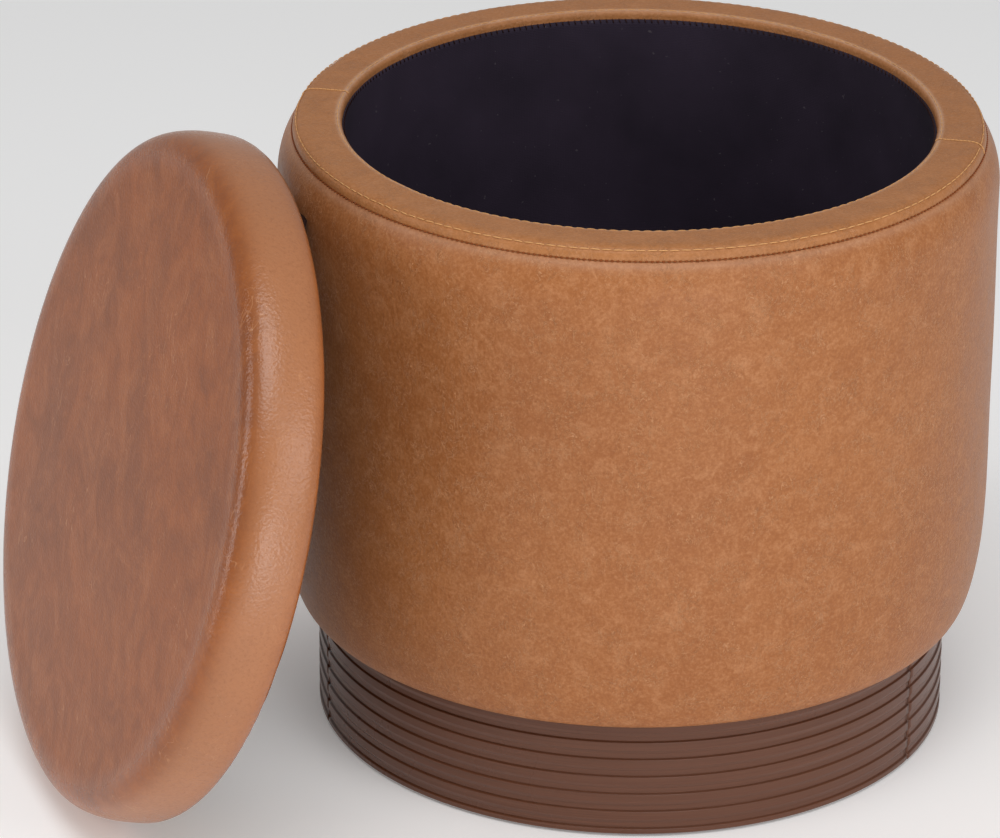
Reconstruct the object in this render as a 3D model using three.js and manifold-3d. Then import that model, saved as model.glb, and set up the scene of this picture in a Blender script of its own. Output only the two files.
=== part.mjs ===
// A round storage ottoman: a padded drum covered in tan faux leather on a fluted brown plinth, with a
// loose padded lid. The lid stands on the floor, leaning against the left side of the open drum.
// Millimetres, +Z up. Every round piece is turned about the axis of its own group.
import * as THREE from "three";
import { mergeVertices } from "three/addons/utils/BufferGeometryUtils.js";
import Module from "manifold-3d";

// Overall sizes.
const DRUM_RADIUS = 215; // over the padded side
const RIM_HEIGHT = 382.5; // floor to the top of the padded rim
const OPENING_RADIUS = 177; // inside the finished rim
const DRUM_UNDERSIDE = 78; // floor to the leather under the drum
const PLINTH_RADIUS = 192.4; // over the lands of the fluting
const LID_RADIUS = 203; // over the padded edge of the lid
const SEAT_HEIGHT = 46; // underside of the lid to the top of its shoulder
const SEAT_CROWN = 3.5; // how much higher the middle of the seat is
const RAIL_DEPTH = 25; // the crossed rails under the lid; the long one drops into the opening
const RAIL_CLEARANCE = 3.7; // between the long rail's ends and the lining

// How the lid leans.
const LID_LEAN = 74.2; // degrees from lying flat
const LID_SIDE_STEP = -17; // how far it stands from the drum's centre plane
const LEAN_CLEARANCE = 0.5;

// Sheet and board thicknesses.
const GAP = 0.3; // between pieces that touch
const LEATHER = 1.2;
const CLOTH = 1;
const DUST_CLOTH = 0.8;
const PANEL = 3;
const BOARD = 12;
const WALL = 8;
const HOOP = 5;

// The shape of the padding.
const TUCK_DEPTH = 13; // how far the side curves in towards the plinth
const TUCK_HEIGHT = 85;
const SHOULDER_WIDTH = 24; // the rounding from the side over to the rim
const SHOULDER_HEIGHT = 35;
const SEAM_ANGLE = 50.7; // where on that rounding the side is sewn to the rim, in degrees
const LIP_RADIUS = 6; // the roll of the rim into the opening
const FOOT_FOAM = 8; // padding between the foot of the side and the floor board
const RIM_FOAM = 14;
const RIM_BOARD_INSET = 15; // from the padded side in to the edge of the rim board
const RIM_TURN_DOWN = 24; // how far the rim leather goes down inside
const LINING_DROP = 5.5; // rim top to the upper edge of the lining
const LID_SHOULDER_WIDTH = 17;
const LID_SHOULDER_HEIGHT = 15;
const LID_EDGE = 6; // the rounding at the lid's underside
const LID_BOARD_INSET = 8;
const LID_TURN_IN = 11; // how far the leather goes in between the lid board and the plug

// The plinth.
const GLIDE_HEIGHT = 2;
const GLIDE_RADIUS = 12;
const GLIDE_INSET = 15; // from the hoop in to the middle of a glide
const GLIDE_PIN_RADIUS = 1.5;
const GLIDE_PIN_LENGTH = 8;
const FLUTE_PITCH = 11.5;
const FLUTE_DEPTH = 1.8;
const FLUTE_LAND = 5;
const FLUTE_BEVEL = 1.2; // height of the slope above each land
const FLUTE_STEP = 0.8; // height of the slope below each land
const FIRST_LAND = 3; // the lowest land is cut short by the floor
const STRIP_BACKING = 2;
const STRIP_JOINTS = [-49.8, 63, 175.7]; // where the ends of the strips meet, degrees from +X
const BLOCK = 36;
const BLOCK_INSET = 25;
const BLOCK_ANGLE = 45; // from +X to the first block, in degrees
const TURN_IN_MARGIN = 4; // from the corners of the blocks out to the turned-in leather

// The rim leather is cut as two half rings, with a seam at each end.
const RIM_SEAMS = [-31.3, 148.7];

// Countersunk screws.
const SCREW_RADIUS = 2;
const SCREW_HEAD = 4;
const SCREW_HEAD_HEIGHT = 3;
const SCREW_POINT = 4;
const SCREW_LENGTH = 36;
const RAIL_SCREW_LENGTH = 33;
const RAIL_WIDTH = 70;
const SHORT_RAIL = 0.7; // half length of the short rail, as a share of the long one's
const RAIL_ANGLE = 10; // degrees, from the way that the lid leans to the first rail
const SCREW_STEP = 8; // sideways from the middle of a block
const RAIL_SCREW_RING = 0.56; // as a share of the long rail's half length

const FACETS = 36;
const SMALL_FACETS = 12;
const SCREW_FACETS = 8;
const FULL_TURN = 360;
const LEAN_SAMPLES = 24; // tries along each side of the lid's outline

// Places that follow from the sizes above.
const SKIN = LEATHER + GAP;
const wallInner = OPENING_RADIUS + SKIN;
const wallOuter = wallInner + WALL;
const floorBottom = DRUM_UNDERSIDE + SKIN;
const floorTop = floorBottom + BOARD;
const floorBoardRadius = DRUM_RADIUS - TUCK_DEPTH - SKIN - FOOT_FOAM;
const rimBoardTop = RIM_HEIGHT - SKIN - RIM_FOAM;
const rimBoardRadius = DRUM_RADIUS - RIM_BOARD_INSET;
const liningOuter = OPENING_RADIUS - GAP;
const liningInner = liningOuter - CLOTH;
const plinthTop = DRUM_UNDERSIDE - GAP;
const stripInner = PLINTH_RADIUS - FLUTE_DEPTH - STRIP_BACKING;
const hoopOuter = stripInner - GAP;
const hoopInner = hoopOuter - HOOP;
const plinthBoardBottom = GLIDE_HEIGHT + GAP;
const plinthBoardTop = plinthBoardBottom + BOARD;
const glideRing = hoopInner - GLIDE_INSET;
const dustRadius = glideRing - GLIDE_RADIUS - TURN_IN_MARGIN;
const blockRing = hoopInner - BLOCK_INSET - BLOCK / 2;
const turnInRadius = Math.hypot(blockRing + BLOCK / 2, BLOCK / 2) + TURN_IN_MARGIN;
const lidBoardRadius = LID_RADIUS - LID_BOARD_INSET;
const lidBoardTop = SKIN + BOARD;
const railReach = liningInner - RAIL_CLEARANCE;
const lidTurnInRadius = railReach - LID_TURN_IN;

const radians = THREE.MathUtils.degToRad;
const wasm = await Module();
wasm.setup();

// A material for one mesh.
function finish(color, roughness, metalness = 0) {
  return new THREE.MeshStandardMaterial({ color, roughness, metalness });
}

const leather = () => finish(0xa8693f, 0.45);
const seatLeather = () => finish(0x8c5034, 0.42);
const lining = () => finish(0x17131a, 0.9);
const foam = () => finish(0xe6d9a8, 0.95);
const plywood = () => finish(0xc8a878, 0.75);
const fluting = () => finish(0x5a372a, 0.38);
const dustCloth = () => finish(0x1b1b1c, 0.95);
const steel = () => finish(0xa9a9ac, 0.35, 1);
const nylon = () => finish(0x26211f, 0.55);

// Points along part of an ellipse, as [radius, height], between two angles in degrees.
function arc(centreR, centreZ, halfWidth, halfHeight, from, to, steps) {
  const points = [];
  for (let i = 0; i <= steps; i++) {
    const angle = radians(from + ((to - from) * i) / steps);
    points.push([centreR + halfWidth * Math.cos(angle), centreZ + halfHeight * Math.sin(angle)]);
  }
  return points;
}

// A solid of revolution about +Z. The profile runs anticlockwise in the plane of radius and height, and
// it either starts and ends on the axis or is closed here.
function revolve(profile, facets = FACETS) {
  const points = profile.map(([radius, height]) => new THREE.Vector2(radius, height));
  const onAxis = profile[0][0] === 0;
  if (!onAxis) points.push(points[0].clone());
  return new THREE.LatheGeometry(points, facets).rotateX(Math.PI / 2);
}

// A plain ring with a rectangular section.
function ring(inner, outer, bottom, top) {
  return revolve([[outer, bottom], [outer, top], [inner, top], [inner, bottom]]);
}

// A plain round plate.
function disc(radius, bottom, top) {
  return revolve([[0, bottom], [radius, bottom], [radius, top], [0, top]]);
}

// The closed solid of a geometry, for cutting.
function solid(geometry) {
  const bare = geometry.clone();
  bare.deleteAttribute("normal");
  bare.deleteAttribute("uv");
  const merged = mergeVertices(bare, 1e-3);
  return new wasm.Manifold(
    new wasm.Mesh({
      numProp: 3,
      vertProperties: merged.attributes.position.array,
      triVerts: new Uint32Array(merged.index.array),
    }),
  );
}

// The geometry of a closed solid.
function shell(manifold) {
  const { vertProperties, triVerts } = manifold.getMesh();
  const geometry = new THREE.BufferGeometry();
  geometry.setAttribute("position", new THREE.BufferAttribute(vertProperties, 3));
  geometry.setIndex(new THREE.BufferAttribute(triVerts, 1));
  return geometry.toNonIndexed();
}

// A geometry with other geometries cut out of it.
function cut(geometry, cutters) {
  let body = solid(geometry);
  for (const cutter of cutters) body = body.subtract(solid(cutter));
  return shell(body);
}

// The part of a ring between two directions, in degrees, with half a gap left off each end.
function sector(ringGeometry, from, to, reach) {
  const trim = THREE.MathUtils.radToDeg(GAP / 2 / OPENING_RADIUS);
  const outline = new THREE.Shape();
  outline.moveTo(0, 0);
  for (const [radius, height] of arc(0, 0, reach, reach, from + trim, to - trim, FACETS)) {
    outline.lineTo(radius, height);
  }
  const wedge = new THREE.ExtrudeGeometry(outline, { depth: 2 * RIM_HEIGHT, bevelEnabled: false });
  return shell(solid(ringGeometry).intersect(solid(wedge)));
}

// A screw with its flat head at height 0 and its point at -length. A growth widens it into a hole.
function screw(length, growth = 0) {
  const shank = SCREW_RADIUS + growth;
  const head = SCREW_HEAD + growth;
  return revolve(
    [
      [0, -length - growth],
      [shank, -length - growth + SCREW_POINT],
      [shank, -SCREW_HEAD_HEIGHT - growth],
      [head, -growth],
      [head, growth ? BOARD : 0],
      [0, growth ? BOARD : 0],
    ].filter((point, i) => growth > 0 || i !== 3),
    SCREW_FACETS,
  );
}

const drum = new THREE.Group();
const lid = new THREE.Group();

// Adds a named piece to a group.
function add(group, name, geometry, material) {
  const mesh = new THREE.Mesh(geometry, material);
  mesh.name = name;
  group.add(mesh);
  return mesh;
}

// The four places, as [x, y], at a distance from the axis and a step sideways.
function fourPlaces(distance, startAngle, step = 0) {
  return [0, 1, 2, 3].map((i) => {
    const angle = radians(startAngle + (i * FULL_TURN) / 4);
    return [
      distance * Math.cos(angle) - step * Math.sin(angle),
      distance * Math.sin(angle) + step * Math.cos(angle),
    ];
  });
}

// Outline of the padded side from its foot up the rounding, moved inwards by an offset.
function sideOutline(offset, topAngle) {
  return [
    ...arc(
      DRUM_RADIUS - TUCK_DEPTH,
      DRUM_UNDERSIDE + TUCK_HEIGHT,
      TUCK_DEPTH - offset,
      TUCK_HEIGHT - offset,
      -90,
      0,
      5,
    ),
    ...shoulder(offset, 0, topAngle, 3),
  ];
}

// Part of the rounding between the side and the rim.
function shoulder(offset, from, to, steps) {
  return arc(
    DRUM_RADIUS - SHOULDER_WIDTH,
    RIM_HEIGHT - SHOULDER_HEIGHT,
    SHOULDER_WIDTH - offset,
    SHOULDER_HEIGHT - offset,
    from,
    to,
    steps,
  );
}

// The angle on that rounding at a height.
function shoulderAngle(offset, height) {
  const rise = height - (RIM_HEIGHT - SHOULDER_HEIGHT);
  return THREE.MathUtils.radToDeg(Math.asin(rise / (SHOULDER_HEIGHT - offset)));
}

// Outline of the rim from the rounding over the lip and down into the opening.
function rimOutline(offset, fromAngle, bottom) {
  const roll = LIP_RADIUS - offset;
  return [
    ...shoulder(offset, fromAngle, 90, 3),
    ...arc(OPENING_RADIUS + LIP_RADIUS, RIM_HEIGHT - LIP_RADIUS, roll, roll, 90, 180, 3),
    [OPENING_RADIUS + offset, bottom],
  ];
}

// Outline of the lid from the edge of its underside round to the middle of the seat.
function lidOutline(offset) {
  const shoulderR = LID_RADIUS - LID_SHOULDER_WIDTH;
  const crown = [0.75, 0.5, 0.25, 0].map((share) => [
    shoulderR * share,
    SEAT_HEIGHT + SEAT_CROWN * (1 - share * share) - offset,
  ]);
  return [
    ...arc(LID_RADIUS - LID_EDGE, LID_EDGE, LID_EDGE - offset, LID_EDGE - offset, -90, 0, 3),
    ...arc(
      shoulderR,
      SEAT_HEIGHT - LID_SHOULDER_HEIGHT,
      LID_SHOULDER_WIDTH - offset,
      LID_SHOULDER_HEIGHT - offset,
      0,
      90,
      4,
    ),
    ...crown,
  ];
}

// Plinth: a bent plywood hoop round a board, with a fluted strip wrapped round it in three lengths.
function addPlinth() {
  add(drum, "plinth_hoop", ring(hoopInner, hoopOuter, GLIDE_HEIGHT, plinthTop), plywood());

  const fluted = [[PLINTH_RADIUS, GLIDE_HEIGHT], [PLINTH_RADIUS, GLIDE_HEIGHT + FIRST_LAND]];
  const recess = PLINTH_RADIUS - FLUTE_DEPTH;
  let edge = GLIDE_HEIGHT + FIRST_LAND;
  while (edge + FLUTE_PITCH < plinthTop) {
    const nextLand = edge + FLUTE_PITCH - FLUTE_LAND;
    fluted.push([recess, edge + FLUTE_BEVEL], [recess, nextLand - FLUTE_STEP]);
    fluted.push([PLINTH_RADIUS, nextLand], [PLINTH_RADIUS, edge + FLUTE_PITCH]);
    edge += FLUTE_PITCH;
  }
  const topOfBevel = Math.min(edge + FLUTE_BEVEL, (edge + plinthTop) / 2);
  fluted.push([recess, topOfBevel], [recess, plinthTop]);
  fluted.push([stripInner, plinthTop], [stripInner, GLIDE_HEIGHT]);
  const wrap = revolve(fluted);
  ["plinth_strip_front", "plinth_strip_back_left", "plinth_strip_back_right"].forEach((name, i) => {
    const ends = [[2, 0], [1, 2], [0, 1]][i].map((joint) => STRIP_JOINTS[joint]);
    if (ends[1] < ends[0]) ends[1] += FULL_TURN;
    add(drum, name, sector(wrap, ends[0], ends[1], 2 * PLINTH_RADIUS), fluting());
  });

  const glidePlaces = fourPlaces(glideRing, BLOCK_ANGLE);
  const glideShape = (growth) =>
    revolve(
      [
        [0, 0],
        [GLIDE_RADIUS - 0.8, 0],
        [GLIDE_RADIUS, 0.8],
        [GLIDE_RADIUS, GLIDE_HEIGHT],
        [GLIDE_PIN_RADIUS + growth, GLIDE_HEIGHT],
        [GLIDE_PIN_RADIUS + growth, GLIDE_HEIGHT + GLIDE_PIN_LENGTH + growth],
        [0, GLIDE_HEIGHT + GLIDE_PIN_LENGTH + growth],
      ],
      SMALL_FACETS,
    );
  glidePlaces.forEach(([x, y], i) => {
    add(drum, `glide_${i + 1}`, glideShape(0), nylon()).position.set(x, y, 0);
  });

  const blockPlaces = fourPlaces(blockRing, BLOCK_ANGLE);
  const lowPlaces = fourPlaces(blockRing, BLOCK_ANGLE, -SCREW_STEP);
  const highPlaces = fourPlaces(blockRing, BLOCK_ANGLE, SCREW_STEP);
  const lowHead = plinthBoardBottom + GAP;
  const highHead = floorTop - GAP;
  const up = (geometry, [x, y], height) => geometry.rotateX(Math.PI).translate(x, y, height);
  const down = (geometry, [x, y], height) => geometry.translate(x, y, height);
  const lowHole = (place) => up(screw(SCREW_LENGTH, GAP), place, lowHead);
  const highHole = (place) => down(screw(SCREW_LENGTH, GAP), place, highHead);

  const boardHoles = [
    ...glidePlaces.map(([x, y]) => glideShape(GAP).translate(x, y, 0)),
    ...lowPlaces.map(lowHole),
  ];
  const board = disc(hoopInner - GAP, plinthBoardBottom, plinthBoardTop);
  add(drum, "plinth_board", cut(board, boardHoles), plywood());
  const blockHeight = floorBottom - plinthBoardTop - 2 * GAP;
  blockPlaces.forEach(([x, y], i) => {
    const block = new THREE.BoxGeometry(BLOCK, BLOCK, blockHeight);
    block.rotateZ(radians(BLOCK_ANGLE + (i * FULL_TURN) / 4));
    block.translate(x, y, plinthBoardTop + GAP + blockHeight / 2);
    const drilled = cut(block, [lowHole(lowPlaces[i]), highHole(highPlaces[i])]);
    add(drum, `plinth_block_${i + 1}`, drilled, plywood());
  });
  const floorBoard = disc(floorBoardRadius, floorBottom, floorTop);
  add(drum, "drum_floor_board", cut(floorBoard, highPlaces.map(highHole)), plywood());
  lowPlaces.forEach((place, i) => {
    add(drum, `plinth_screw_${i + 1}`, up(screw(SCREW_LENGTH), place, lowHead), steel());
  });
  highPlaces.forEach((place, i) => {
    add(drum, `drum_screw_${i + 1}`, down(screw(SCREW_LENGTH), place, highHead), steel());
  });
  const dust = disc(dustRadius, GLIDE_HEIGHT - DUST_CLOTH, GLIDE_HEIGHT);
  add(drum, "plinth_dust_cover", dust, dustCloth());
}

// Drum: a bent plywood wall on a floor board with a ring board on top, padded, covered and lined.
function addDrum() {
  add(drum, "drum_wall", ring(wallInner, wallOuter, floorTop + GAP, rimBoardTop - BOARD - GAP), plywood());
  add(drum, "rim_board", ring(wallInner, rimBoardRadius, rimBoardTop - BOARD, rimBoardTop), plywood());

  const sidePad = [
    [floorBoardRadius + GAP, floorBottom],
    ...sideOutline(SKIN, shoulderAngle(SKIN, rimBoardTop)),
    [rimBoardRadius + GAP, rimBoardTop],
    [rimBoardRadius + GAP, rimBoardTop - BOARD - GAP],
    [wallOuter + GAP, rimBoardTop - BOARD - GAP],
    [wallOuter + GAP, floorTop + GAP],
    [floorBoardRadius + GAP, floorTop + GAP],
  ];
  add(drum, "side_foam", revolve(sidePad), foam());

  const rimPadBottom = rimBoardTop + GAP;
  const rimPad = rimOutline(SKIN, shoulderAngle(SKIN, rimPadBottom), rimPadBottom);
  add(drum, "rim_foam", revolve(rimPad), foam());

  const sideSkin = [
    [turnInRadius, DRUM_UNDERSIDE],
    ...sideOutline(0, SEAM_ANGLE),
    ...sideOutline(LEATHER, SEAM_ANGLE).reverse(),
    [turnInRadius, DRUM_UNDERSIDE + LEATHER],
  ];
  add(drum, "side_cover", revolve(sideSkin), leather());

  const rimStart = SEAM_ANGLE + THREE.MathUtils.radToDeg(GAP / SHOULDER_WIDTH);
  const turnDown = RIM_HEIGHT - RIM_TURN_DOWN;
  const rimSkin = revolve([
    ...rimOutline(0, rimStart, turnDown),
    ...rimOutline(LEATHER, rimStart, turnDown).reverse(),
  ]);
  const [frontSeam, backSeam] = RIM_SEAMS;
  const reach = 2 * DRUM_RADIUS;
  add(drum, "rim_cover_front", sector(rimSkin, backSeam - FULL_TURN, frontSeam, reach), leather());
  add(drum, "rim_cover_back", sector(rimSkin, frontSeam, backSeam, reach), leather());

  const liningFoot = floorTop + GAP;
  const liningTop = RIM_HEIGHT - LINING_DROP;
  add(drum, "lining_wall", ring(liningInner, liningOuter, liningFoot, liningTop), lining());
  const panel = disc(liningInner - GAP, liningFoot, liningFoot + PANEL);
  add(drum, "storage_floor_panel", panel, finish(0x8d7355, 0.85));
  const clothBottom = liningFoot + PANEL + GAP;
  const floorCloth = disc(liningInner - GAP, clothBottom, clothBottom + CLOTH);
  add(drum, "storage_floor_lining", floorCloth, lining());
}

// Lid: a padded seat on a round board, with a cloth and two crossed rails screwed under it.
function addLid() {
  const places = fourPlaces(railReach * RAIL_SCREW_RING, RAIL_ANGLE);
  const up = (geometry, [x, y]) => geometry.rotateX(Math.PI).translate(x, y, -RAIL_DEPTH);
  const holes = places.map((place) => up(screw(RAIL_SCREW_LENGTH, GAP), place));
  add(lid, "lid_board", cut(disc(lidBoardRadius, SKIN, lidBoardTop), holes), plywood());
  add(lid, "lid_underlining", cut(disc(lidTurnInRadius - GAP, 0, CLOTH), holes), lining());
  add(lid, "lid_rail_1", rail(RAIL_ANGLE, railReach, -RAIL_DEPTH, holes), plywood());
  add(lid, "lid_rail_2", rail(RAIL_ANGLE + FULL_TURN / 4, railReach * SHORT_RAIL, -GAP, holes), plywood());
  places.forEach((place, i) => {
    add(lid, `rail_screw_${i + 1}`, up(screw(RAIL_SCREW_LENGTH), place), steel());
  });

  const pad = [
    [0, lidBoardTop + GAP],
    [lidBoardRadius + GAP, lidBoardTop + GAP],
    [lidBoardRadius + GAP, SKIN],
    ...lidOutline(SKIN),
  ];
  add(lid, "lid_foam", revolve(pad), foam());
  const skin = [
    ...lidOutline(LEATHER).reverse(),
    [lidTurnInRadius, LEATHER],
    [lidTurnInRadius, 0],
    ...lidOutline(0),
  ];
  add(lid, "lid_cover", revolve(skin), seatLeather());
}

// A rail under the lid, its ends rounded about the middle of the lid, where it is halved from one face.
function rail(angle, reach, notchedFace, holes) {
  const turn = radians(angle);
  const notch = new THREE.BoxGeometry(RAIL_WIDTH + 2 * GAP, 2 * RAIL_WIDTH, RAIL_DEPTH + GAP);
  notch.rotateZ(turn).translate(0, 0, notchedFace);
  const bar = new THREE.BoxGeometry(4 * reach, RAIL_WIDTH, 4 * RAIL_DEPTH).rotateZ(turn);
  const round = cut(disc(reach, -RAIL_DEPTH, -GAP), [notch, ...holes]);
  return shell(solid(round).intersect(solid(bar)));
}

// Radius of the drum's outside at a height.
function drumRadiusAt(height) {
  const outline = [
    [PLINTH_RADIUS, 0],
    [PLINTH_RADIUS, DRUM_UNDERSIDE],
    ...sideOutline(0, 90),
  ];
  for (let i = 1; i < outline.length; i++) {
    const [[r0, z0], [r1, z1]] = [outline[i - 1], outline[i]];
    if (height <= z1 && z1 > z0) return r0 + ((r1 - r0) * (height - z0)) / (z1 - z0);
  }
  return -Infinity;
}

// Stands the lid on the floor, tipped back until it just clears the drum.
function leanLid() {
  const lean = radians(LID_LEAN);
  const half = [[0, -RAIL_DEPTH], [railReach, -RAIL_DEPTH], [railReach, 0], ...lidOutline(0)];
  const outline = [...half, ...half.map(([radius, height]) => [-radius, height]).reverse()];
  const tipped = outline.map(([across, height]) => [
    across * Math.cos(lean) - height * Math.sin(lean),
    across * Math.sin(lean) + height * Math.cos(lean),
  ]);
  const lift = -Math.min(...tipped.map((point) => point[1]));
  let distance = 0;
  for (let i = 1; i < tipped.length; i++) {
    for (let k = 0; k <= LEAN_SAMPLES; k++) {
      const across = THREE.MathUtils.lerp(tipped[i - 1][0], tipped[i][0], k / LEAN_SAMPLES);
      const height = THREE.MathUtils.lerp(tipped[i - 1][1], tipped[i][1], k / LEAN_SAMPLES) + lift;
      distance = Math.max(distance, across + drumRadiusAt(height) + LEAN_CLEARANCE);
    }
  }
  lid.rotation.y = -lean;
  lid.position.set(-distance, LID_SIDE_STEP, lift);
}

addPlinth();
addDrum();
addLid();
leanLid();

// The origin is on the floor under the middle of the whole object.
const ottoman = new THREE.Group();
ottoman.add(drum, lid);
ottoman.updateMatrixWorld(true);
const middle = new THREE.Box3().setFromObject(ottoman, true).getCenter(new THREE.Vector3());
ottoman.position.set(-middle.x, -middle.y, 0);
const model = new THREE.Group();
model.add(ottoman);

export default model;
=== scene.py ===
"""A round storage ottoman: a drum in tan faux leather on a fluted plinth, its lid leaning beside it."""

import math

import bmesh
import bpy
import numpy as np
from mathutils import Matrix, Vector


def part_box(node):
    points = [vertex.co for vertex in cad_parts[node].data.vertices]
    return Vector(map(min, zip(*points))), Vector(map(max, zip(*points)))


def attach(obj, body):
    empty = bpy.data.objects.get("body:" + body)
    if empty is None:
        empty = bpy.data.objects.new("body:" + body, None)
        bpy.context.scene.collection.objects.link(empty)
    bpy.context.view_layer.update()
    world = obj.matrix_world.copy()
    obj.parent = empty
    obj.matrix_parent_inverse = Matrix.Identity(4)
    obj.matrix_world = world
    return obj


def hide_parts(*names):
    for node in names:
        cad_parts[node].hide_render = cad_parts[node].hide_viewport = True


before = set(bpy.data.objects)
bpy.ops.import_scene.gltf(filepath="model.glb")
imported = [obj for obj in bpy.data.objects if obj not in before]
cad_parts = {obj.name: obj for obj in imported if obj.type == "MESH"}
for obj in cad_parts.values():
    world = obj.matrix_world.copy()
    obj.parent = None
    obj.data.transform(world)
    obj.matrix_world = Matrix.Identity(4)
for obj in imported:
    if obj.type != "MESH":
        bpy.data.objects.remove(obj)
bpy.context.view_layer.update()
MM = 0.001


# ---------------------------------------------------------------------------------------------------
# Plywood: the plinth's hoop, board and blocks, the drum's floor, wall and rim, the lid's board. Birch
# ply, cut round or bent into a hoop, glued and screwed. The hoop is near black behind its strip, so the
# slits at the strip's joints read dark: painted shade.

def material(name, colour, roughness, **sockets):
    """A new material: itself, its node tree and its shader, with plain numbers set on the sockets."""
    made = bpy.data.materials.new(name)
    made.use_nodes = True
    surface = made.node_tree.nodes["Principled BSDF"]
    surface.inputs["Base Color"].default_value = (*colour, 1)
    surface.inputs["Roughness"].default_value = roughness
    for label, value in sockets.items():
        surface.inputs[label.replace("_", " ")].default_value = value
    return made, made.node_tree, surface


def node(tree, kind, inputs, **settings):
    """One node of a tree. An input given as a socket is linked, and any other value is set on it."""
    made = tree.nodes.new("ShaderNode" + kind)
    for key, value in settings.items():
        setattr(made, key, value)
    for key, value in inputs.items():
        if isinstance(value, bpy.types.NodeSocket):
            tree.links.new(value, made.inputs[key])
        else:
            made.inputs[key].default_value = value
    return made


def object_space(tree, scale=(1, 1, 1), lean=0.0, spin=0.0):
    """Object coordinates, turned back by a lean about Y and a spin about Z, then stretched along each
    axis."""
    place = node(tree, "TexCoord", {}).outputs["Object"]
    upright = node(tree, "Mapping", {"Vector": place, "Rotation": (0, lean, -spin)}).outputs[0]
    return node(tree, "Mapping", {"Vector": upright, "Scale": scale}).outputs[0]


def noise(tree, place, scale, detail=3.0, roughness=0.55, distortion=0.0):
    """Cloudy noise from 0 to 1, with its scale in cycles per metre of its place."""
    settings = {"Vector": place, "Scale": scale, "Detail": detail, "Roughness": roughness}
    return node(tree, "TexNoise", {**settings, "Distortion": distortion}).outputs[0]


def between(tree, value, low, high, to_low=0.0, to_high=1.0):
    """A value's stretch from low to high, drawn out over another range and kept inside it."""
    span = {"Value": value, "From Min": low, "From Max": high, "To Min": to_low, "To Max": to_high}
    return node(tree, "MapRange", span).outputs[0]


def arithmetic(tree, operation, first, second=0.0):
    """Two values added, multiplied or otherwise put together."""
    return node(tree, "Math", {0: first, 1: second}, operation=operation).outputs[0]


def mixed(tree, share, first, second):
    """The first colour with a share of the second mixed into it."""
    first, second = (c if isinstance(c, bpy.types.NodeSocket) else (*c, 1) for c in (first, second))
    return node(tree, "Mix", {0: share, 6: first, 7: second}, data_type="RGBA").outputs[2]


def bump(tree, height, depth, under=None):
    """A normal raised by a height from 0 to 1 over a depth in metres, on top of another normal."""
    inputs = {"Height": height, "Distance": depth, "Strength": 1.0}
    if under is not None:
        inputs["Normal"] = under
    return node(tree, "Bump", inputs).outputs[0]


def finish_with(tree, surface, **sockets):
    """Links what a material works out to its shader."""
    for label, socket in sockets.items():
        tree.links.new(socket, surface.inputs[label.replace("_", " ")])


def paint(names, made):
    """Gives CAD nodes a material in place of their own."""
    for name in names:
        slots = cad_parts[name].data.materials
        slots.clear()
        slots.append(made)


plywood, tree, surface = material("plywood", (0.6, 0.42, 0.24), 0.62)
wood_grain = noise(tree, object_space(tree, (1, 9, 9)), 26, 5, 0.6, 0.6)
pores = noise(tree, object_space(tree, (1, 30, 30)), 60, 2)
wood = mixed(tree, between(tree, wood_grain, 0.35, 0.7), (0.62, 0.43, 0.24), (0.42, 0.26, 0.13))
wood = mixed(tree, between(tree, pores, 0.62, 0.75, 0, 0.5), wood, (0.24, 0.14, 0.07))
finish_with(tree, surface, Base_Color=wood, Normal=bump(tree, pores, 0.1 * MM),
            Roughness=between(tree, wood_grain, 0.3, 0.7, 0.55, 0.72))
boards = ["plinth_board", "drum_floor_board", "drum_wall", "rim_board", "lid_board"]
paint(boards + [f"plinth_block_{i}" for i in range(1, 5)], plywood)

# Near-black plywood on the hoop: painted shade, so the slits at the strip's joints read dark.
hoop_dark, tree, surface = material("hoop_dark_plywood", (0.01, 0.004, 0.003), 0.8, Specular_IOR_Level=0.1)
wood_grain = noise(tree, object_space(tree, (1, 1, 9)), 26, 5, 0.6, 0.6)
finish_with(tree, surface, Base_Color=mixed(tree, wood_grain, (0.006, 0.003, 0.002), (0.014, 0.006, 0.004)),
            Normal=bump(tree, wood_grain, 0.1 * MM))
paint(["plinth_hoop"], hoop_dark)


# ---------------------------------------------------------------------------------------------------
# Screws. Zinc-plated countersunk steel, driven into the blocks from above and below, and through
# the rails into the lid board.

zinc, tree, surface = material("zinc_plate", (0.62, 0.62, 0.6), 0.34, Metallic=1.0)
swirl = noise(tree, object_space(tree), 900, 3, 0.6, 1.5)
finish_with(tree, surface, Roughness=between(tree, swirl, 0.2, 0.8, 0.26, 0.46),
            Base_Color=mixed(tree, swirl, (0.66, 0.66, 0.63), (0.5, 0.5, 0.49)))
paint([f"{kind}_screw_{i}" for kind in ("plinth", "drum", "rail") for i in range(1, 5)], zinc)


# ---------------------------------------------------------------------------------------------------
# Glides. Moulded black nylon buttons, each with a pin that is knocked into the plinth board.

nylon, tree, surface = material("nylon", (0.022, 0.019, 0.017), 0.5)
scuff = noise(tree, object_space(tree), 240, 4, 0.65)
paler_share = between(tree, scuff, 0.55, 0.75, 0, 0.6)
finish_with(tree, surface, Base_Color=mixed(tree, paler_share, (0.022, 0.019, 0.017), (0.07, 0.064, 0.058)),
            Roughness=between(tree, scuff, 0.3, 0.7, 0.42, 0.66),
            Normal=bump(tree, noise(tree, object_space(tree), 2600, 2), 0.05 * MM))
paint([f"glide_{i}" for i in range(1, 5)], nylon)


# ---------------------------------------------------------------------------------------------------
# Dust cover. A disc of black spun cloth, stapled over the hollow underneath the plinth board.

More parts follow.
